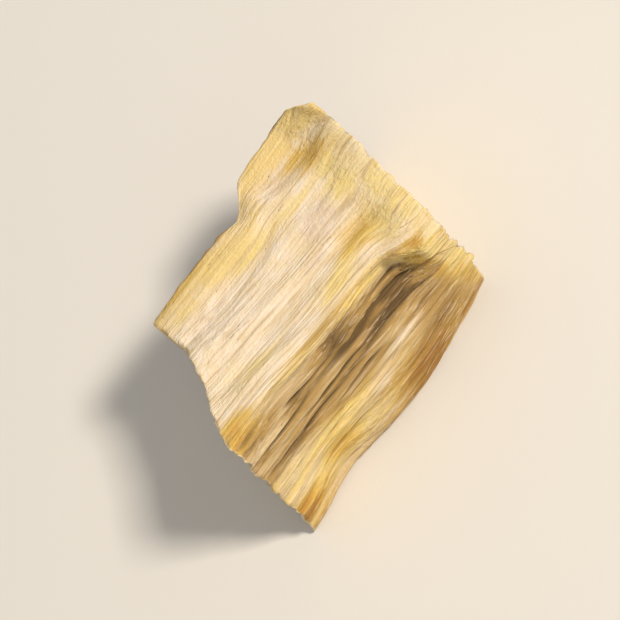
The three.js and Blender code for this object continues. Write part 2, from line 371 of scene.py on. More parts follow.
def main_form(s, t, lift):
    """The chip's surface without its fine relief, close to the form of its solid."""
    on_front = step(FRONT_OR_BACK_FROM, 1, -t)
    on_back = step(FRONT_OR_BACK_FROM, 1, t)
    on_top = step(TOP_FROM, 1, lift)
    on_base = 1 - step(0, BASE_UP_TO, lift)
    on_side = step(SIDE_SWELLING_FROM, 1, np.abs(t))
    on_cut = step(CUT_FROM, 1, np.abs(s))

    y, z = section(s, t, lift)
    y = y + front_inset(s, lift) * on_front + back_bulge(s, lift) * on_back
    z = z + top_rise(s, t) * on_top + base_rise(s, t) * on_base

    near_x = NEAR_CUT["x"] + NEAR_CUT["per_back"] * y + NEAR_CUT["per_up"] * z
    far_x = FAR_CUT["x"] + FAR_CUT["per_back"] * y + FAR_CUT["per_up"] * z
    x = blend(near_x, far_x, (s + 1) / 2)
    x = x - np.sign(s) * cut_inset(s, t, lift, y, z) * on_cut

    swell = swelling(x, y, z) * (1 - on_base)
    return np.stack((x, y + np.sign(t) * swell * on_side, z + swell * on_top), axis=1)


def normals_of(points, quads):
    """The way that the surface faces at each point, from the quads around it."""
    corners = points[quads]
    facing = np.cross(corners[:, 2] - corners[:, 0], corners[:, 3] - corners[:, 1])
    normal = np.zeros_like(points)
    for corner in range(4):
        np.add.at(normal, quads[:, corner], facing)
    return normal / np.linalg.norm(normal, axis=1, keepdims=True)


# Fine relief, layer by layer: its hills' spacing along the fibre and across it, and their height, all in
# millimetres. A layer with steps is terraced, as split fibre is. A narrow layer has thin valleys in place of
# hills, which come and go.
FIBRE_RELIEF = (
    {"along": 9.0, "across": 0.8, "height": 0.15, "steps": 5},
    {"along": 6.0, "across": 0.32, "height": 0.1, "steps": 3},
    {"along": 3.0, "across": 0.14, "height": 0.05},
    {"along": 0.5, "across": 0.16, "height": 0.025},
    {"along": 9.0, "across": 0.5, "height": 0.08, "narrow": 0.08},
)
# How much of that the split sides have
ROUGHNESS = {"top": 0.4, "front": 1.0, "base": 0.9}
SKIN_RELIEF = (
    {"along": 9.0, "across": 1.1, "height": 0.16, "narrow": 0.3},
    {"along": 5.0, "across": 0.5, "height": 0.08, "narrow": 0.3},
    {"along": 0.6, "across": 2.5, "height": 0.06},
    {"along": 0.3, "across": 1.2, "height": 0.03},
    {"along": 0.25, "across": 0.15, "height": 0.025},
)
# On the cuts, the layers run along the rays of the root, away from its axis
RAY_RELIEF = (
    {"along": 3.0, "across": 0.45, "height": 0.05},
    {"along": 1.0, "across": 0.2, "height": 0.035},
    {"along": 0.3, "across": 0.25, "height": 0.025},
    {"along": 0.13, "across": 0.12, "height": 0.02},
    {"along": 8.0, "across": 0.9, "height": 0.07, "narrow": 0.05},
)
STEP_EDGE = 0.15
# Thin valleys come and go: how much of one is there on average, how sharply it ends, and how far apart its
# ends are, in spacings of its layer
FADING = {"mean": 0.6, "contrast": 1.6, "spacings": 1.8}

# The fibre wanders from a straight line. Hollows and swellings go through the fibres for this share of their
# depth, and bend them for the rest.
FIBRE_WANDER = {"along": 6.0, "across": 2.5, "most": 0.15}
THROUGH_FIBRES = 0.6
# Each strand was cut off at a place of its own. At the near cut, they reach this far past the solid.
NEAR_FRAY = 0.09
RAGGED_RIM = (
    {"spacing": 1.7, "most": 0.14, "start": 0.8},
    {"spacing": 0.4, "most": 0.08, "start": 0.92},
    {"spacing": 0.11, "most": 0.05, "start": 0.96},
)


def sides_of(facing):
    """How much each point belongs to each side of the chip, from 0 to 1."""
    facing_up, facing_front, facing_cut = facing[:, 2], -facing[:, 1], facing[:, 0]
    return {
        "top": np.clip(facing_up, 0, 1),
        "base": np.clip(-facing_up, 0, 1),
        "front": np.clip(facing_front, 0, 1),
        "back": np.clip(-facing_front, 0, 1),
        "cut": np.abs(facing_cut),
    }


def grain_of(share, points):
    """Where each point lies among the fibres, which are twisted with the blank, in millimetres."""
    grain = share * HALF_BLANK
    y, z = section(share[:, 0], share[:, 1], (share[:, 2] + 1) / 2)
    grain[:, 1] += THROUGH_FIBRES * (points[:, 1] - y)
    grain[:, 2] += THROUGH_FIBRES * (points[:, 2] - z)
    spacing = (FIBRE_WANDER["along"], FIBRE_WANDER["across"], FIBRE_WANDER["across"])
    sideways = FIBRE_WANDER["most"] * random_hills(grain, spacing, SEEDS["wander"])
    upwards = FIBRE_WANDER["most"] * random_hills(grain, spacing, SEEDS["wander"] + 1)
    grain[:, 1] += sideways
    grain[:, 2] += upwards
    return grain


def rays_of(points):
    """Where each point lies among the rays of the root: away from its axis, around it, and along it."""
    back, up = points[:, 1] - ROOT_AXIS["y"], points[:, 2] - ROOT_AXIS["z"]
    return np.stack((np.hypot(back, up), ROOT_RADIUS * np.arctan2(up, back), points[:, 0]), axis=1)


def layered(places, layers, first_seed):
    """How far the layers' relief stands out, in millimetres, and how deep each place is in a thin valley."""
    relief = np.zeros(len(places))
    valley = np.zeros(len(places))
    for seed, layer in enumerate(layers, first_seed):
        spacing = np.array((layer["along"], layer["across"], layer["across"]))
        hills = random_hills(places, spacing, seed)
        if "steps" in layer:
            level = hills * layer["steps"]
            past = level - np.floor(level)
            hills = (np.floor(level) + step(0.5 - STEP_EDGE, 0.5 + STEP_EDGE, past)) / layer["steps"]
        if "narrow" in layer:
            coming = random_hills(places, FADING["spacings"] * spacing, SEEDS["fading"] + seed)
            there = np.clip(FADING["mean"] + FADING["contrast"] * coming, 0, 1)
            hills = -hill(hills / layer["narrow"]) * there
            valley = np.maximum(valley, -hills)
        relief += layer["height"] * hills
    return relief, valley


def fine_relief(points, grain, sides):
    """How far each point stands out of the main form, in millimetres, and how deep it is in a thin valley."""
    fibre, fibre_valley = layered(grain, FIBRE_RELIEF, SEEDS["fibre"])
    skin, skin_valley = layered(grain, SKIN_RELIEF, SEEDS["skin"])
    ray, ray_valley = layered(rays_of(points), RAY_RELIEF, SEEDS["ray"])
    split = sum(rough * sides[name] for name, rough in ROUGHNESS.items())
    relief = split * fibre + sides["back"] * skin + sides["cut"] * ray
    valley = split * fibre_valley + sides["back"] * skin_valley + sides["cut"] * ray_valley
    return relief, valley


# Loose fibres, torn up at one end. Each group grows at random places within its shares (s, t, lift). Lengths,
# and how far the free ends rise and bend aside, are in millimetres. A fibre of positive length points towards
# the far cut, and one of negative length towards the near cut.
LOOSE_FIBRES = (
    {"count": 26, "within": ((-0.97, 0.6), (-1, -1), (0.5, 0.97)), "length": (0.4, 2.2), "rise": 0.12},
    {"count": 10, "within": ((-0.7, 0.95), (-1, -1), (0.06, 0.6)), "length": (-1.6, -0.3), "rise": 0.1},
    {"count": 20, "within": ((-0.95, 0.8), (-0.97, 0.97), (1, 1)), "length": (0.3, 1.1), "rise": 0.05},
    {"count": 8, "within": ((-0.4, 0.7), (-1, -1), (0.99, 0.99)), "length": (0.4, 1.2), "rise": 0.14},
    {"count": 16, "within": ((-0.7, 0.9), (1, 1), (0.05, 0.95)), "length": (-1.0, -0.3), "rise": 0.08},
)
FIBRE_HALF_WIDTH = 0.02
FIBRE_JOINTS = 7
FIBRE_BEND = 0.12
FIBRE_TAPER = 0.75
# The least and most that a fibre has of its group's rise and of the half width, as shares, and how far it is
# sunk into the surface, as a share of its own half width
RISE_SHARES = (0.2, 1)
WIDTH_SHARES = (0.5, 1)
SUNK_IN = 0.5
SQUARE = np.array(((1, 1), (-1, 1), (-1, -1), (1, -1)))


def loose_fibres(share, points, normals, along):
    """Square, tapered fibres: their points, the surface point of each ring, its paleness, and the quads."""
    chance = np.random.default_rng(SEEDS["loose_fibres"])
    fibre_points, roots, paleness, quads = [], [], [], []
    for group in LOOSE_FIBRES:
        for _ in range(group["count"]):
            s, t, lift = (chance.uniform(*reach) for reach in group["within"])
            length = chance.uniform(*group["length"])
            bend = FIBRE_BEND * chance.uniform(-1, 1)
            rise = group["rise"] * chance.uniform(*RISE_SHARES)
            thin = FIBRE_HALF_WIDTH * chance.uniform(*WIDTH_SHARES)
            pale = chance.uniform(0, 1)
            root = np.argmin(((share - (s, t, 2 * lift - 1)) ** 2).sum(axis=1))
            outwards = normals[root]
            onwards = math.copysign(1, length) * along[root]
            aside = np.cross(outwards, onwards)
            first = len(points) + 4 * len(roots)
            for joint in range(FIBRE_JOINTS):
                way = joint / (FIBRE_JOINTS - 1)
                middle = points[root] + onwards * abs(length) * way + aside * bend * way ** 2
                middle = middle + outwards * (rise * way ** 2 - SUNK_IN * thin)
                half = thin * (1 - FIBRE_TAPER * way ** 2)
                fibre_points.append(middle + half * (SQUARE[:, :1] * outwards + SQUARE[:, 1:] * aside))
                roots.append(root)
                paleness.append(pale)
            for ring in range(first, first + 4 * (FIBRE_JOINTS - 1), 4):
                for i, j in ((0, 1), (1, 2), (2, 3), (3, 0)):
                    quads.append((ring + i, ring + 4 + i, ring + 4 + j, ring + j))
            last = first + 4 * (FIBRE_JOINTS - 1)
            quads.append((first, first + 1, first + 2, first + 3))
            quads.append((last + 3, last + 2, last + 1, last))
    return np.concatenate(fibre_points), np.repeat(roots, 4), np.repeat(paleness, 4), np.array(quads)


# How far to either side in s the main form is measured for the way that its fibre runs
ALONG_STEP = 0.01


def chip_mesh():
    """The chip's fine surface, with the masks that its material reads."""
    grid, quads = box_surface()
    share, facing = blank(grid)
    s, t, lift = share[:, 0], share[:, 1], (share[:, 2] + 1) / 2
    sides = sides_of(facing)
    points = main_form(s, t, lift)
    grain = grain_of(share, points)
    along = main_form(s + ALONG_STEP, t, lift) - main_form(s - ALONG_STEP, t, lift)
    along /= np.linalg.norm(along, axis=1, keepdims=True)

    for seed, ragged in enumerate(RAGGED_RIM, SEEDS["rim"]):
        spacing = (1, ragged["spacing"], ragged["spacing"])
        cut_off = ragged["most"] * random_hills(grain * (0, 1, 1), spacing, seed)
        points[:, 0] += np.sign(s) * cut_off * step(ragged["start"], 1, np.abs(s))
    relief, valley = fine_relief(points, grain, sides)
    points += normals_of(points, quads) * relief[:, None]

    # the fine surface stands where its solid does, and reaches past it by 0.1 mm at most
    rays = rays_of(points)
    low, high = points.min(axis=0), points.max(axis=0)
    points[:, 0] += cad_low.x / MM - NEAR_FRAY - low[0]
    points[:, 1] += ((cad_low.y + cad_high.y) / MM - low[1] - high[1]) / 2
    points[:, 2] -= low[2]

    fibre_points, roots, paleness, fibre_quads = loose_fibres(share, points, normals_of(points, quads), along)
    masks = masks_of(s, t, lift, sides, valley)
    masks["loose"] = np.zeros(len(points))
    fibre_grain = grain[roots] + fibre_points - points[roots]
    mesh = bpy.data.meshes.new("root_chip_dried")
    all_points = np.concatenate((points, fibre_points))
    mesh.from_pydata((all_points * MM).tolist(), [], np.concatenate((quads, fibre_quads)).tolist())
    mesh.shade_smooth()
    all_grain = np.concatenate((grain, fibre_grain))
    all_rays = np.concatenate((rays, rays[roots]))
    for name, places in (("grain", all_grain), ("rays", all_rays)):
        attribute = mesh.attributes.new(name, "FLOAT_VECTOR", "POINT")
        attribute.data.foreach_set("vector", places.astype(np.float32).ravel())
    for name, mask in masks.items():
        on_fibres = paleness if name == "loose" else mask[roots]
        values = np.concatenate((mask, on_fibres)).astype(np.float32)
        mesh.attributes.new(name, "FLOAT", "POINT").data.foreach_set("value", values)
    return mesh


# The lip of the far cut stayed pale and keeps only a little of the brown
LIP_BAND = {"start": 0.76, "end": 0.9, "low": 0.1, "high": 0.4}
LIP_BROWN = 0.15
# Bark lies under the skin: how deep it is golden throughout, and how deep it goes, in millimetres
BARK = {"golden": 0.48, "end": 1.44}

# Streaks of colour, each from one place to another: of the top, from (s, t) to (s, t), and of the front, from
# (s, lift) to (s, lift). They are as wide as given in the same shares, and their ends fade out. A few of them
# are painted light or painted shade, as marked.
STREAK_END = 0.85
TOP_STAINS_AND_PAINTED_LIGHT = {
    "pale": (
        {"from": (-1.1, 0.3), "to": (-0.1, 0.1), "width": 0.35, "strength": 1.2},
        {"from": (-0.9, -0.15), "to": (0.0, -0.2), "width": 0.2, "strength": 0.8},
        {"from": (-0.6, -0.7), "to": (-0.2, -0.65), "width": 0.14, "strength": 1.0},
        {"from": (0.2, -0.1), "to": (0.5, -0.2), "width": 0.1, "strength": 0.5},
        # painted light: paler here to brighten the shade where the top slopes down to its worn back corner
        {"from": (0.84, 0.95), "to": (0.98, 0.3), "width": 0.18, "strength": 2.6},
        # painted light: paler here to brighten the shade behind a low fibre hill at the near end
        {"from": (-0.9, -0.42), "to": (-0.3, -0.5), "width": 0.18, "strength": 2.2},
        {"from": (0.2, 0.62), "to": (0.45, 0.66), "width": 0.08, "strength": 0.9},
    ),
    "yellow": (
        {"from": (-0.95, -0.45), "to": (-0.35, -0.6), "width": 0.2, "strength": 0.8},
        {"from": (-0.55, 0.88), "to": (0.02, 0.55), "width": 0.16, "strength": 1.4},
        {"from": (0.1, -0.65), "to": (0.35, -0.85), "width": 0.18, "strength": 1.1},
        {"from": (0.15, 0.88), "to": (0.95, 0.88), "width": 0.12, "strength": 1.2},
        {"from": (0.0, 0.42), "to": (0.55, 0.4), "width": 0.08, "strength": 0.8},
        {"from": (-0.95, 0.75), "to": (-0.5, 0.8), "width": 0.15, "strength": 0.7},
        {"from": (0.93, -1.0), "to": (0.88, 0.2), "width": 0.13, "strength": 0.9},
        {"from": (0.93, 0.2), "to": (0.86, 1.0), "width": 0.1, "strength": 0.5},
        {"from": (0.7, 1.0), "to": (0.95, 0.8), "width": 0.2, "strength": 1.9},
        {"from": (0.5, -0.45), "to": (0.85, -0.5), "width": 0.4, "strength": 1.1},
        {"from": (0.25, -0.6), "to": (0.5, -0.7), "width": 0.15, "strength": 1.1},
        {"from": (0.58, 0.15), "to": (0.85, 0.1), "width": 0.13, "strength": 1.1},
        {"from": (0.6, 0.4), "to": (0.88, 0.35), "width": 0.1, "strength": 1.0},
    ),
    "gold": (
        {"from": (-1.1, 0.97), "to": (-0.3, 0.97), "width": 0.1, "strength": 0.8},
        {"from": (-0.05, 0.85), "to": (0.25, 0.52), "width": 0.08, "strength": 0.7},
        {"from": (0.38, -0.22), "to": (0.6, -0.24), "width": 0.12, "strength": 0.5},
        {"from": (0.32, -0.55), "to": (0.55, -0.6), "width": 0.14, "strength": 1.0},
        {"from": (0.38, -0.42), "to": (0.65, -0.58), "width": 0.26, "strength": 0.95},
        {"from": (0.42, -0.66), "to": (0.66, -0.71), "width": 0.1, "strength": 1.2},
        {"from": (0.74, -0.97), "to": (0.84, -0.87), "width": 0.07, "strength": 1.5},
        {"from": (0.48, 0.7), "to": (0.84, 0.46), "width": 0.13, "strength": 1.2},
        {"from": (-1.05, -0.78), "to": (-0.75, -0.98), "width": 0.15, "strength": 1.6},
        {"from": (-0.5, -0.97), "to": (0.25, -0.95), "width": 0.1, "strength": 0.65},
        {"from": (-0.9, -0.97), "to": (-0.2, -0.97), "width": 0.08, "strength": 0.5},
    ),
    "brown": (
        {"from": (0.54, 0.64), "to": (0.84, 0.46), "width": 0.06, "strength": 0.2},
        {"from": (0.55, 0.03), "to": (0.76, -0.06), "width": 0.09, "strength": 0.45},
        {"from": (0.55, -0.97), "to": (0.7, -0.97), "width": 0.05, "strength": 0.3},
        {"from": (-0.3, -1.0), "to": (0.1, -1.0), "width": 0.05, "strength": 0.8},
    ),
    "rust": (
        {"from": (-1.05, -0.85), "to": (-0.85, -0.98), "width": 0.08, "strength": 0.7},
    ),
    "lilac": (
        {"from": (0.28, 0.22), "to": (0.55, 0.02), "width": 0.18, "strength": 1.5},
        {"from": (0.18, 0.68), "to": (0.5, 0.68), "width": 0.1, "strength": 1.0},
        {"from": (-0.35, 0.15), "to": (-0.1, -0.6), "width": 0.16, "strength": 0.3},
        {"from": (0.1, -0.05), "to": (0.35, -0.3), "width": 0.14, "strength": 0.8},
        {"from": (-0.9, 0.52), "to": (-0.35, 0.42), "width": 0.12, "strength": 0.9},
    ),
}
FRONT_STAINS_AND_PAINTED_SHADE = {
    "pale": (
        {"from": (0.05, 0.46), "to": (0.5, 0.44), "width": 0.08, "strength": 1.3},
        {"from": (-0.9, 0.46), "to": (-0.4, 0.46), "width": 0.06, "strength": 0.9},
        {"from": (-0.9, 0.31), "to": (-0.55, 0.31), "width": 0.07, "strength": 0.9},
        {"from": (-0.1, 0.33), "to": (0.15, 0.3), "width": 0.1, "strength": 1.0},
        {"from": (0.84, 1.0), "to": (0.96, 0.3), "width": 0.09, "strength": 2.2},
    ),
    "yellow": (
        {"from": (-0.95, 0.42), "to": (0.1, 0.42), "width": 0.13, "strength": 1.1},
        {"from": (-0.95, 0.24), "to": (0.0, 0.24), "width": 0.13, "strength": 1.1},
        {"from": (0.8, 1.05), "to": (0.98, 0.2), "width": 0.1, "strength": 1.9},
        {"from": (0.0, 0.96), "to": (0.8, 0.95), "width": 0.07, "strength": 1.2},
        {"from": (-0.8, 0.96), "to": (0.1, 0.96), "width": 0.06, "strength": 0.6},
        {"from": (0.66, 1.0), "to": (0.84, 0.6), "width": 0.1, "strength": 1.9},
    ),
    "gold": (
        {"from": (-1.1, 0.97), "to": (-0.75, 0.93), "width": 0.09, "strength": 1.3},
        {"from": (-1.2, 0.18), "to": (-0.7, 0.15), "width": 0.12, "strength": 1.8},
        {"from": (-0.62, 0.26), "to": (-0.3, 0.22), "width": 0.13, "strength": 1.4},
        {"from": (-0.55, 0.5), "to": (0.05, 0.48), "width": 0.08, "strength": 1.1},
        {"from": (0.12, 0.93), "to": (0.45, 0.92), "width": 0.05, "strength": 0.6},
        {"from": (0.7, 1.0), "to": (0.81, 0.4), "width": 0.07, "strength": 1.5},
        {"from": (0.84, 0.5), "to": (0.96, 0.1), "width": 0.08, "strength": 1.0},
        {"from": (-0.8, 0.12), "to": (0.2, 0.1), "width": 0.05, "strength": 0.4},
        {"from": (0.0, 0.18), "to": (0.75, 0.16), "width": 0.13, "strength": 1.6},
    ),
    "brown": (
        {"from": (-0.6, 0.8), "to": (0.45, 0.8), "width": 0.055, "strength": 1.3},
        {"from": (-0.22, 0.85), "to": (0.15, 0.86), "width": 0.07, "strength": 1.6},
        {"from": (-0.62, 0.79), "to": (-0.32, 0.79), "width": 0.05, "strength": 1.4},
        {"from": (0.3, 0.76), "to": (0.66, 0.75), "width": 0.06, "strength": 2.3},
        {"from": (-0.35, 0.54), "to": (0.3, 0.53), "width": 0.04, "strength": 1.1},
        {"from": (-1.2, 0.72), "to": (-0.2, 0.74), "width": 0.02, "strength": 1.0},
        {"from": (-0.9, 0.63), "to": (0.8, 0.66), "width": 0.08, "strength": 1.1},
        {"from": (-0.95, 0.59), "to": (-0.35, 0.6), "width": 0.04, "strength": 1.4},
        {"from": (0.02, 0.69), "to": (0.7, 0.68), "width": 0.07, "strength": 2.0},
        {"from": (0.35, 0.52), "to": (0.8, 0.5), "width": 0.07, "strength": 1.2},
        {"from": (0.45, 0.43), "to": (0.85, 0.4), "width": 0.07, "strength": 0.9},
        {"from": (-1.1, 0.84), "to": (-0.55, 0.84), "width": 0.04, "strength": 1.0},
        {"from": (0.4, 0.24), "to": (0.92, 0.26), "width": 0.14, "strength": 1.1},
        # painted shade: a brown line all along the front's bottom edge, where the chip meets the floor
        {"from": (-1.2, 0.0), "to": (1.2, 0.0), "width": 0.05, "strength": 1.0},
    ),
    "rust": (
        {"from": (0.05, 0.14), "to": (0.65, 0.14), "width": 0.13, "strength": 2.0},
        {"from": (0.5, 0.08), "to": (1.1, 0.1), "width": 0.07, "strength": 1.2},
        {"from": (-1.2, 0.16), "to": (-0.8, 0.13), "width": 0.09, "strength": 1.3},
    ),
    "lilac": (
        {"from": (0.0, 0.42), "to": (0.55, 0.42), "width": 0.11, "strength": 1.3},
        {"from": (-1.1, 0.81), "to": (-0.5, 0.81), "width": 0.06, "strength": 1.7},
        {"from": (-0.08, 0.32), "to": (0.14, 0.2), "width": 0.09, "strength": 1.7},
    ),
}


def masks_of(s, t, lift, sides, valley):
    """The numbers that the material reads at each point."""
    top, front = sides["top"], sides["front"]
    masks = {name: sides[name] for name in ("front", "back", "base", "cut")}
    # a place on one side of the chip is as far from the nearest edge as from the second nearest side
    to_cut = (1 - np.abs(s)) * HALF_BLANK[0]
    to_front_or_back = (1 - np.abs(t)) * HALF_BLANK[1]
    to_top_or_base = np.minimum(lift, 1 - lift) * HEIGHT
    masks["to_edge"] = np.sort((to_cut, to_front_or_back, to_top_or_base), axis=0)[1]
    masks["in_bark"] = 1 - step(BARK["golden"], BARK["end"], (1 - t) * HALF_BLANK[1])
    high_up = top + front * step(LIP_BAND["low"], LIP_BAND["high"], lift)
    masks["on_lip"] = step(LIP_BAND["start"], LIP_BAND["end"], s) * high_up
    masks["crack"] = crack_depth(s, lift) * front
    masks["valley"] = valley
    for name in TOP_STAINS_AND_PAINTED_LIGHT:
        masks[name] = top * streaked(s, t, TOP_STAINS_AND_PAINTED_LIGHT[name]) + front * streaked(s, lift, FRONT_STAINS_AND_PAINTED_SHADE[name])
    masks["brown"] *= blend(1, LIP_BROWN, masks["on_lip"])
    return masks


def streaked(u, v, streaks):
    """How strongly the streaks colour the places (u, v)."""
    most = np.zeros_like(u)
    for streak in streaks:
        start, end = np.array(streak["from"]), np.array(streak["to"])
        length = np.linalg.norm(end - start)
        way = (end - start) / length
        from_middle = (u - (start[0] + end[0]) / 2, v - (start[1] + end[1]) / 2)
        along = (from_middle[0] * way[0] + from_middle[1] * way[1]) / (length / 2)
        away = (from_middle[1] * way[0] - from_middle[0] * way[1]) / streak["width"]
        most = np.maximum(most, streak["strength"] * hill(STREAK_END * along) * hill(away))
    return most


def linear(hex_colour):
    """An sRGB colour such as #E9DCC4 as linear RGBA."""
    shares = [int(hex_colour[i:i + 2], 16) / 255 for i in (1, 3, 5)]
    return [c / 12.92 if c <= 0.04045 else ((c + 0.055) / 1.055) ** 2.4 for c in shares] + [1]


def add_node(tree, kind, inputs, **settings):
    """Adds one node with its settings, sets or links its inputs by name or number, and gives its output."""
    node = tree.nodes.new("ShaderNode" + kind)
    for name, value in settings.items():
        setattr(node, name, value)
    for key, value in inputs.items():
        if isinstance(value, bpy.types.NodeSocket):
            tree.links.new(value, node.inputs[key])
        else:
            node.inputs[key].default_value = value
    return next(output for output in node.outputs if output.enabled)


# The numbers of the Mix node's inputs when it mixes colours
MIX_SHARE = 0
MIX_GROUND = 6
MIX_COAT = 7


def paint(tree, ground, coats):
    """Lays coats over a ground: for each its mask, where that starts and is full, its strength and colour."""
    for mask, start, full, strength, colour in coats:
        range_of = {"Value": mask, "From Min": start, "From Max": full, "To Min": 0, "To Max": strength}
        share = add_node(tree, "MapRange", range_of, interpolation_type="SMOOTHSTEP")
        inputs = {MIX_SHARE: share, MIX_GROUND: ground, MIX_COAT: colour}
        ground = add_node(tree, "Mix", inputs, data_type="RGBA")
    return ground


# Patterns of the dried root: how far apart their hills are along the fibre and across it, in millimetres,
# and their detail. Real fibres are 0.02 to 0.05 mm thick. The strands and threads are bundles of them, and
# hairs stand for single fibres, drawn a little coarser than real ones.
GRAIN_PATTERNS = {
    "blotches": {"along": 3.5, "across": 1.6, "detail": 3},
    "strands": {"along": 8.0, "across": 0.32, "detail": 3},
    "threads": {"along": 5.0, "across": 0.12, "detail": 2},
    "hairs": {"along": 2.0, "across": 0.05, "detail": 2},
    "flecks": {"along": 2.2, "across": 0.5, "detail": 5},
    "mottle": {"along": 0.8, "across": 0.35, "detail": 4},
    "specks": {"along": 0.12, "across": 0.08, "detail": 3},
}
# On the cuts, the same along the rays and around the root's axis
RAY_PATTERNS = {
    "ray_lines": {"along": 2.5, "across": 0.22, "detail": 3},
    "growth_rings": {"along": 0.45, "across": 6.0, "detail": 3},
}

CREAM = "#F0D9B2"
PALE = "#F8E6CE"
LILAC = "#DFC8AD"
STRAW = "#DCC188"
FRONT_STRAW = "#D0B37C"
YELLOW = "#F1D686"
GOLD = "#DBB557"
DEEP_GOLD = "#C88D2E"
LIP_PALE = "#EAD6A0"
TAN = "#B39053"
OLIVE = "#886737"
RUST = "#97692F"
BARK_GOLD = "#EBCB86"
UMBER = "#4B381C"
SKIN = "#A67C4A"
SKIN_PALE = "#CBA871"
SKIN_RED = "#8B5D34"
SKIN_DARK = "#4A3018"
CUT_GREY = "#DCCFB4"
LOOSE_PALE = "#E6CB98"

# The pattern's values at the bottoms and the tops of the threads
THREAD_LOW = 0.3
THREAD_HIGH = 0.7
# Dry fibre is matt and hardly shines, least on the tops of its threads. Some light sinks in, as deep as given
# in millimetres times each colour's share, and comes out warmer.
FLESH_ROUGHNESS = {"smoothest": 0.62, "roughest": 0.86}
FLESH_SHINE = 0.35
SUNKEN_LIGHT = {"share": 0.12, "depth": 0.5, "red_green_blue": (1.0, 0.6, 0.3)}
# The threads stand out by this much, in millimetres, and the finer patterns by shares of it
THREAD_BUMP = {"height": 0.08, "strength": 0.9, "specks": 0.6, "hairs": 0.5}


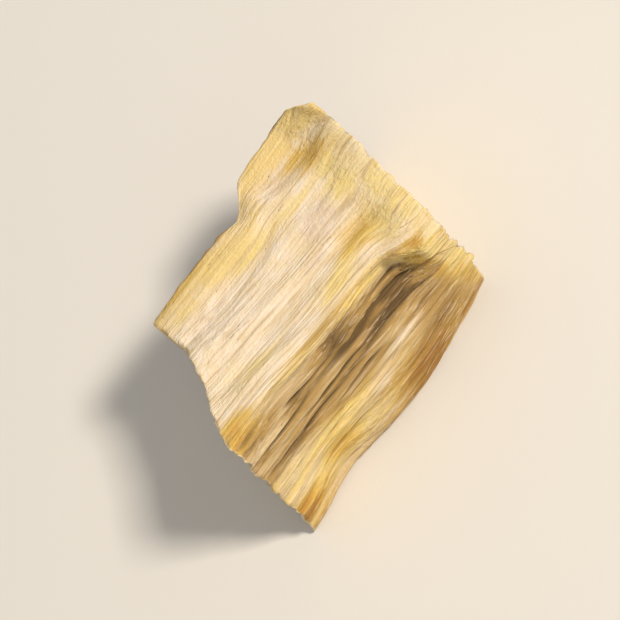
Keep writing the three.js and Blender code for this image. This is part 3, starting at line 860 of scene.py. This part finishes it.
def dried_flesh():
    """Dried root flesh, split along its fibre: matt cream, with golden streaks and brown drying grooves, and
    darker in its cracks and thin valleys, partly by their own colour and partly as painted shade.
    """
    material = bpy.data.materials.new("dried_root_flesh")
    material.use_nodes = True
    tree = material.node_tree
    shader = tree.nodes["Principled BSDF"]

    mask_names = ("front", "back", "base", "cut", "to_edge", "in_bark", "on_lip", "crack", "valley", "loose")
    masks = {}
    for name in (*mask_names, *TOP_STAINS_AND_PAINTED_LIGHT):
        masks[name] = add_node(tree, "Attribute", {}, attribute_name=name).node.outputs["Fac"]

    patterns = {}
    for place_name, place_patterns in (("grain", GRAIN_PATTERNS), ("rays", RAY_PATTERNS)):
        places = add_node(tree, "Attribute", {}, attribute_name=place_name).node.outputs["Vector"]
        for name, pattern in place_patterns.items():
            scale = (1 / pattern["along"], 1 / pattern["across"], 1 / pattern["across"])
            scaled = add_node(tree, "VectorMath", {0: places, 1: scale}, operation="MULTIPLY")
            inputs = {"Vector": scaled, "Scale": 1, "Detail": pattern["detail"]}
            patterns[name] = add_node(tree, "TexNoise", inputs)

    # a mask frayed by a pattern: the pattern's value, 0.5 on average, times how much it frays, plus the mask
    frays = {
        "pale": ("mottle", 1.2, "pale"),
        "yellow": ("flecks", 1.6, "yellow"),
        "gold": ("strands", 2.4, "gold"),
        "brown": ("strands", 2.0, "brown"),
        "rust": ("strands", 2.0, "rust"),
        "dark": ("threads", 2.2, "brown"),
        "lilac": ("blotches", 1.2, "lilac"),
        "bark": ("ray_lines", 1.6, "in_bark"),
        "lip": ("flecks", 1.2, "on_lip"),
        "edge": ("flecks", -1.4, "to_edge"),
    }
    frayed = {}
    for name, (pattern, amount, stain) in frays.items():
        inputs = {0: patterns[pattern], 1: amount, 2: masks[stain]}
        frayed[name] = add_node(tree, "Math", inputs, operation="MULTIPLY_ADD")

    flesh = paint(tree, linear(CREAM), (
        (frayed["lilac"], 0.9, 1.6, 0.8, linear(LILAC)),
        (patterns["mottle"], 0.44, 0.64, 0.7, linear(PALE)),
        (patterns["mottle"], 0.44, 0.3, 0.3, linear(STRAW)),
        (masks["front"], 0.3, 0.9, 0.75, linear(FRONT_STRAW)),
        (frayed["pale"], 0.7, 1.8, 0.7, linear(PALE)),
        (frayed["lip"], 0.9, 1.5, 0.6, linear(LIP_PALE)),
        (frayed["yellow"], 0.9, 1.9, 0.9, linear(YELLOW)),
        (patterns["strands"], 0.5, 0.75, 0.5, linear(PALE)),
        (patterns["strands"], 0.45, 0.28, 0.25, linear(STRAW)),
        (frayed["bark"], 1.1, 1.8, 0.6, linear(BARK_GOLD)),
        (frayed["edge"], -0.5, -1.0, 0.6, linear(GOLD)),
        (frayed["gold"], 1.3, 2.3, 0.95, linear(GOLD)),
        (frayed["gold"], 2.1, 3.2, 0.85, linear(DEEP_GOLD)),
        (frayed["brown"], 1.1, 1.8, 0.95, linear(TAN)),
        (frayed["brown"], 1.8, 2.8, 0.9, linear(OLIVE)),
        (frayed["rust"], 1.2, 2.8, 0.9, linear(RUST)),
        (frayed["dark"], 1.9, 3.0, 0.7, linear(UMBER)),
        (patterns["threads"], 0.47, 0.3, 0.3, linear(TAN)),
        (patterns["hairs"], 0.46, 0.3, 0.3, linear(TAN)),
        (patterns["hairs"], 0.54, 0.7, 0.35, linear(PALE)),
        # darker the deeper the cracks and thin valleys are: partly the darker fibre inside them, partly
        # painted shade
        (masks["crack"], 0.03, 0.15, 0.85, linear(UMBER)),
        (masks["valley"], 0.5, 1.0, 0.3, linear(OLIVE)),
        (masks["loose"], 0.0, 1.0, 0.7, linear(LOOSE_PALE)),
    ))
    skin = paint(tree, linear(SKIN), (
        (patterns["mottle"], 0.42, 0.62, 1.0, linear(SKIN_PALE)),
        (patterns["blotches"], 0.5, 0.3, 0.6, linear(SKIN_RED)),
        (patterns["threads"], 0.46, 0.3, 0.5, linear(SKIN_DARK)),
        # darker in the skin's thin valleys: partly its own colour, partly painted shade
        (masks["valley"], 0.5, 1.0, 0.45, linear(SKIN_DARK)),
        (patterns["specks"], 0.45, 0.3, 0.5, linear(SKIN_DARK)),
    ))
    cut_end = paint(tree, linear(CREAM), (
        (patterns["blotches"], 0.4, 0.6, 0.8, linear(CUT_GREY)),
        (patterns["growth_rings"], 0.5, 0.68, 0.6, linear(STRAW)),
        (patterns["ray_lines"], 0.5, 0.7, 0.7, linear(PALE)),
        (patterns["ray_lines"], 0.46, 0.3, 0.5, linear(STRAW)),
        (patterns["specks"], 0.48, 0.3, 0.6, linear(TAN)),
        (frayed["bark"], 1.2, 2.0, 0.8, linear(BARK_GOLD)),
        (frayed["bark"], 1.5, 2.2, 0.6, linear(GOLD)),
        (frayed["edge"], -0.5, -1.0, 0.7, linear(GOLD)),
        # darker in the cut ends' thin valleys: partly their own colour, partly painted shade
        (masks["valley"], 0.3, 1.0, 0.6, linear(TAN)),
    ))
    colour = paint(tree, flesh, (
        (masks["cut"], 0.3, 0.8, 1.0, cut_end),
        (masks["back"], 0.3, 0.8, 1.0, skin),
        (masks["base"], 0.3, 0.8, 0.3, linear(STRAW)),
    ))
    tree.links.new(colour, shader.inputs["Base Color"])

    inputs = {"Value": patterns["threads"], "From Min": THREAD_LOW, "From Max": THREAD_HIGH}
    inputs["To Min"] = FLESH_ROUGHNESS["smoothest"]
    inputs["To Max"] = FLESH_ROUGHNESS["roughest"]
    tree.links.new(add_node(tree, "MapRange", inputs), shader.inputs["Roughness"])
    shader.inputs["Specular IOR Level"].default_value = FLESH_SHINE
    shader.inputs["Subsurface Weight"].default_value = SUNKEN_LIGHT["share"]
    shader.inputs["Subsurface Radius"].default_value = SUNKEN_LIGHT["red_green_blue"]
    shader.inputs["Subsurface Scale"].default_value = SUNKEN_LIGHT["depth"] * MM

    height = patterns["threads"]
    for name in ("specks", "hairs"):
        inputs = {0: patterns[name], 1: THREAD_BUMP[name], 2: height}
        height = add_node(tree, "Math", inputs, operation="MULTIPLY_ADD")
    inputs = {"Strength": THREAD_BUMP["strength"], "Distance": THREAD_BUMP["height"] * MM, "Height": height}
    tree.links.new(add_node(tree, "Bump", inputs), shader.inputs["Normal"])
    return material


def build_chip():
    chip = bpy.data.objects.new("root_chip_dried", chip_mesh())
    bpy.context.collection.objects.link(chip)
    chip.data.materials.append(dried_flesh())
    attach(chip, "root")
    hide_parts("root_chip")


# The camera looks down on the top and the front, turned so that the far cut is at the upper right
ELEVATION = math.radians(59)
ROLL = math.radians(56.5)
VIEW_WIDTH = 21.5 * MM
LENS = 300
SENSOR = 36
NEAREST_SEEN = 1 * MM

# World directions of the camera before it is turned about its own line of sight
SIDEWAYS = Vector((1, 0, 0))
UPWARDS = Vector((0, math.sin(ELEVATION), math.cos(ELEVATION)))
BACKWARDS = Vector((0, -math.cos(ELEVATION), math.sin(ELEVATION)))


def in_the_picture(right, up, towards):
    """The world direction of a direction in the picture: to its right, to its top and towards the eye."""
    picture_right = math.cos(ROLL) * SIDEWAYS - math.sin(ROLL) * UPWARDS
    picture_up = math.sin(ROLL) * SIDEWAYS + math.cos(ROLL) * UPWARDS
    return right * picture_right + up * picture_up + towards * BACKWARDS


def place_camera():
    data = bpy.data.cameras.new("camera")
    data.lens = LENS
    data.sensor_width = SENSOR
    data.clip_start = NEAREST_SEEN
    camera = bpy.data.objects.new("camera", data)
    bpy.context.collection.objects.link(camera)
    target = (cad_low + cad_high) / 2
    distance = VIEW_WIDTH * LENS / SENSOR
    axes = [in_the_picture(*way) for way in ((1, 0, 0), (0, 1, 0), (0, 0, 1))]
    place = Matrix.Translation(target + BACKWARDS * distance)
    camera.matrix_world = place @ Matrix(axes).transposed().to_4x4()
    bpy.context.scene.camera = camera


# In metres, so wide that its rim stays out of sight
FLOOR_SIZE = 2.0
PAPER = "#E4DFD6"
PAPER_ROUGHNESS = 0.9


def lay_floor():
    """A plain floor of pale, uncoated paper: matt, with no shine to draw the eye away."""
    half = FLOOR_SIZE / 2
    corners = [(-half, -half, 0), (half, -half, 0), (half, half, 0), (-half, half, 0)]
    mesh = bpy.data.meshes.new("floor")
    mesh.from_pydata(corners, [], [(0, 1, 2, 3)])
    floor = bpy.data.objects.new("floor", mesh)
    bpy.context.collection.objects.link(floor)
    material = bpy.data.materials.new("pale_paper")
    material.use_nodes = True
    shader = material.node_tree.nodes["Principled BSDF"]
    shader.inputs["Base Color"].default_value = linear(PAPER)
    shader.inputs["Roughness"].default_value = PAPER_ROUGHNESS
    mesh.materials.append(material)


# Lamps: the way to each in the picture, as shares to the right, up and towards the eye, its distance and size
# in metres, and its power in watts. The key is a small, warm lamp, and the fill a wide, cool and weak one.
LAMPS = {
    "key": {"way": (0.38, 0.5, 1.2), "distance": 0.3, "size": 0.05, "watts": 0.84, "colour": "#FFF6EA"},
    "fill": {"way": (-0.6, 0.3, 1.0), "distance": 0.35, "size": 0.3, "watts": 0.16, "colour": "#F1F4FF"},
}
SKY = "#F4F2EE"
SKY_STRENGTH = 0.35


def hang_lamps():
    target = (cad_low + cad_high) / 2
    for name, lamp in LAMPS.items():
        data = bpy.data.lights.new(name, "AREA")
        data.size = lamp["size"]
        data.energy = lamp["watts"]
        data.color = linear(lamp["colour"])[:3]
        light = bpy.data.objects.new(name, data)
        bpy.context.collection.objects.link(light)
        way = in_the_picture(*lamp["way"]).normalized()
        light.location = target + way * lamp["distance"]
        light.rotation_euler = way.to_track_quat("Z", "Y").to_euler()
    world = bpy.data.worlds.new("studio")
    world.use_nodes = True
    sky = world.node_tree.nodes["Background"]
    sky.inputs["Color"].default_value = linear(SKY)
    sky.inputs["Strength"].default_value = SKY_STRENGTH
    bpy.context.scene.world = world
    bpy.context.scene.view_settings.view_transform = "Standard"


place_camera()
build_chip()
lay_floor()
hang_lamps()
